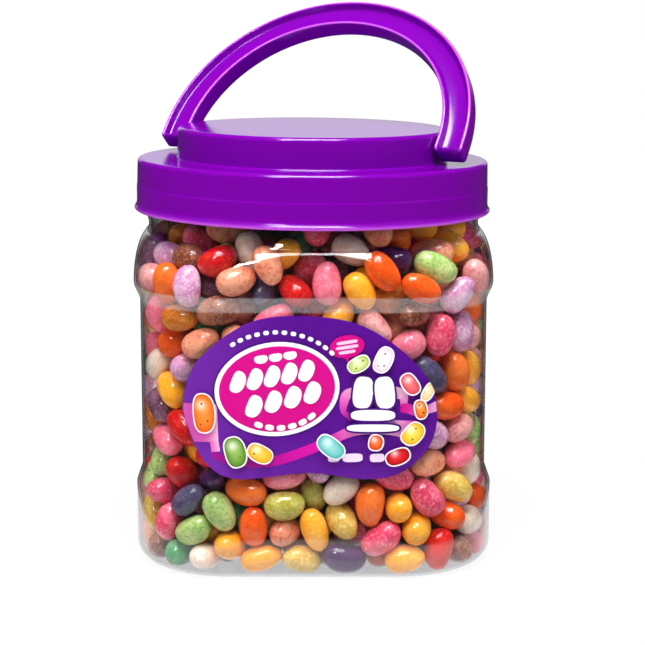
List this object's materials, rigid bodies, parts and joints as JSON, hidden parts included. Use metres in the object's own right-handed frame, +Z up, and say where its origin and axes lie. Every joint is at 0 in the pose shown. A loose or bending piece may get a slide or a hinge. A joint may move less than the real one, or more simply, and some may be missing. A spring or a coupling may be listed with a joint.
{
  "type": "jar of jelly beans",
  "caption": "Clear rounded-square plastic jar full of mixed jelly beans, with a purple screw lid, a swinging bail handle and an oval front label.",
  "frame": {"origin": "centre of the jar's flat base, on its vertical axis", "axes": "+Z up along the jar's axis; the label faces -Y; +X to the right as the label is seen"},
  "size_m": [0.1312, 0.1312, 0.1986],
  "materials": {
    "clear_plastic": "clear polished PET",
    "purple_plastic": "glossy moulded polypropylene",
    "label_print": "satin printed film",
    "sweets": "glazed sugar shells in many colours"
  },
  "bodies": {
    "jar": {"jar": "clear_plastic", "lid": "purple_plastic", "beans": "sweets", "label": "label_print"},
    "handle": {"handle": "purple_plastic"}
  },
  "joints": [
    {"name": "handle_pivot", "type": "hinge", "parent": "jar", "child": "handle", "pos_m": [-0.00022, 0, 0.15], "axis": [0.8987, -0.4384, -0.0094], "range_deg": [-49.5, 130.5]}
  ]
}
